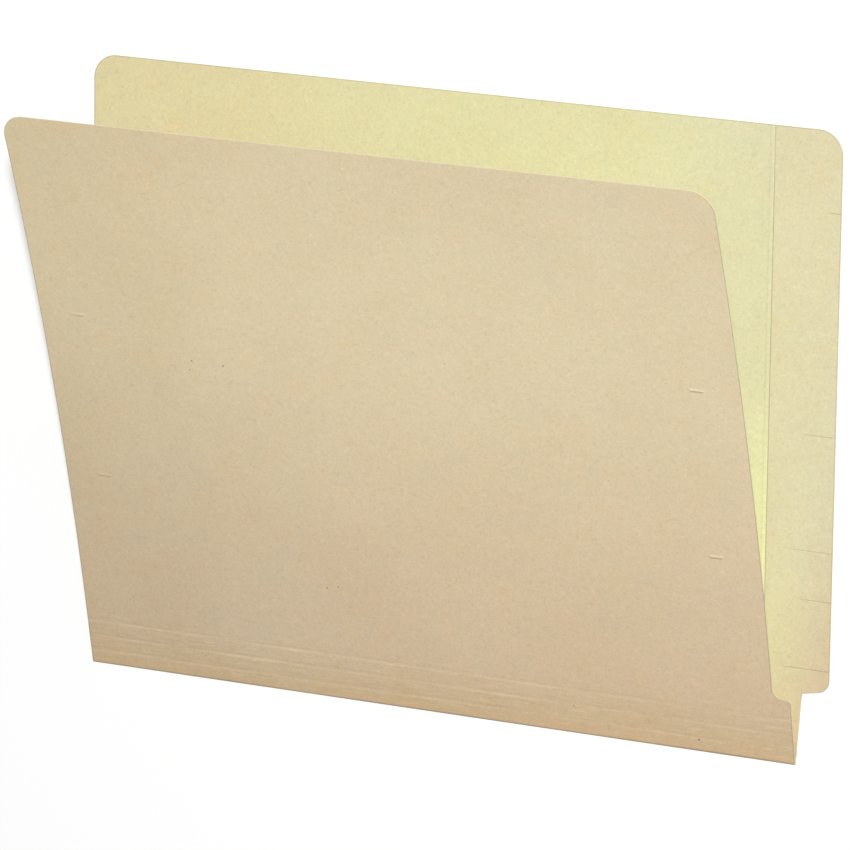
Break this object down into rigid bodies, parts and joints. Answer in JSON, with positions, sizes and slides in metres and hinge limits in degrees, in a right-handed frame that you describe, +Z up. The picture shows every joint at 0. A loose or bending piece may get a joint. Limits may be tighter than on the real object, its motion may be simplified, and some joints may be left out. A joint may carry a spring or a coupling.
{
  "type": "end tab file folder",
  "caption": "Letter-size manila end-tab file folder lying open a little, with a hinged cover, creases that expand the fold, and a reinforced tab.",
  "frame": {"origin": "on the desk plane, under the middle of the folder's outline", "axes": "+X along the fold towards the tab, +Y from the fold to the free edges, +Z up from the desk through the back leaf to the cover"},
  "size_m": [0.3112, 0.2413, 0.0732],
  "materials": {
    "manila_outside": "matte uncoated manila board, tan with fine fibres",
    "manila_inside": "matte uncoated manila board, pale yellow with fine fibres"
  },
  "bodies": {
    "back": {"back_leaf": "manila_inside", "tab_reinforcement": "manila_inside"},
    "bottom": {"fold_spine": "manila_outside", "expansion_strip_1": "manila_outside", "expansion_strip_2": "manila_outside", "expansion_strip_3": "manila_outside"},
    "cover": {"front_cover": "manila_outside"}
  },
  "joints": [
    {"name": "cover_opening", "type": "hinge", "parent": "back", "child": "bottom", "pos_m": [-0.00635, -0.12015, 0.00051], "axis": [1, 0, 0], "range_deg": [-13, 162.5]},
    {"name": "bottom_expansion", "type": "slide", "parent": "bottom", "child": "cover", "axis": [0, 0.848, -0.5299], "range_m": [-0.02602, 0]}
  ]
}
